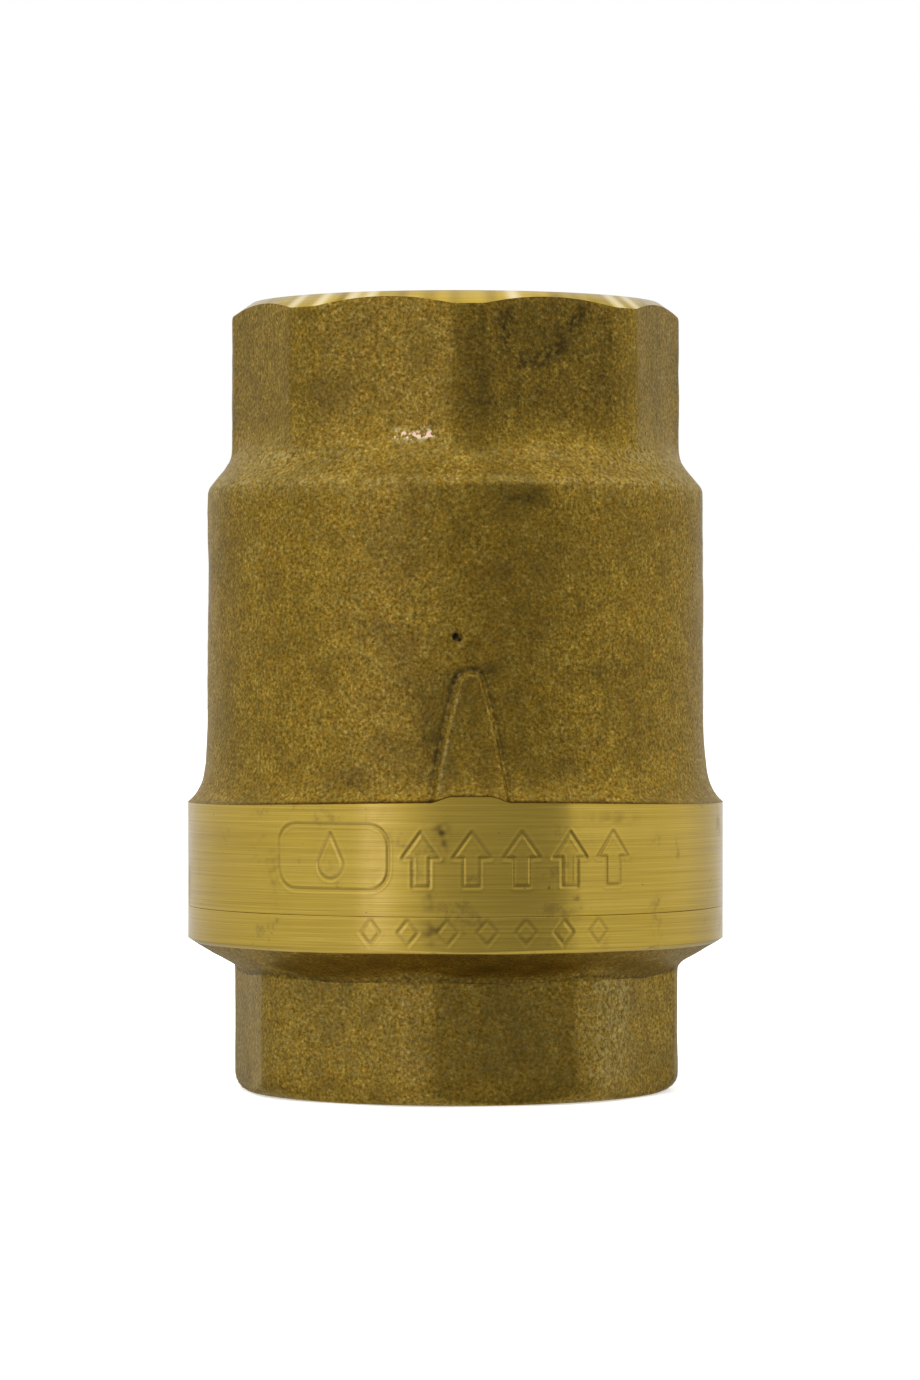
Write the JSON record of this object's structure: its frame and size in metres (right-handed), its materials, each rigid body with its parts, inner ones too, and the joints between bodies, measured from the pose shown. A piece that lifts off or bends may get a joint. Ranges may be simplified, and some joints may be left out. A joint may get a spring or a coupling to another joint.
{
  "type": "in-line spring check valve",
  "caption": "Brass in-line check valve: cast body and screwed cap with octagonal threaded ends, a sprung poppet with soft seal inside, a plain turned band over the joint.",
  "frame": {"origin": "centre of the inlet end's flat face, which the valve stands on", "axes": "+Z along the flow, from the inlet to the outlet; -Y is the front, the side with the cast flow tongue; +X is to the right seen from the front"},
  "size_m": [0.0404, 0.0404, 0.0592],
  "materials": {
    "cast_brass": "sand-blasted casting with turned faces",
    "turned_brass": "turned",
    "stainless_steel": "drawn and bright",
    "nbr_rubber": "moulded",
    "natural_acetal": "moulded"
  },
  "bodies": {
    "housing": {"body": "cast_brass", "end_cap": "cast_brass", "joint_o_ring": "nbr_rubber", "outlet_guide": "natural_acetal", "spring": "stainless_steel"},
    "poppet": {"stem": "stainless_steel", "valve_disc": "turned_brass", "seat_seal": "nbr_rubber", "seal_retainer": "turned_brass", "lock_washer": "stainless_steel", "stem_nut": "stainless_steel"}
  },
  "joints": [
    {"name": "poppet_lift", "type": "slide", "parent": "housing", "child": "poppet", "axis": [0, 0, 1], "range_m": [0, 0.0055], "stiffness_N_per_m": 460, "springref_m": -0.0035, "deforming": ["spring"]}
  ]
}
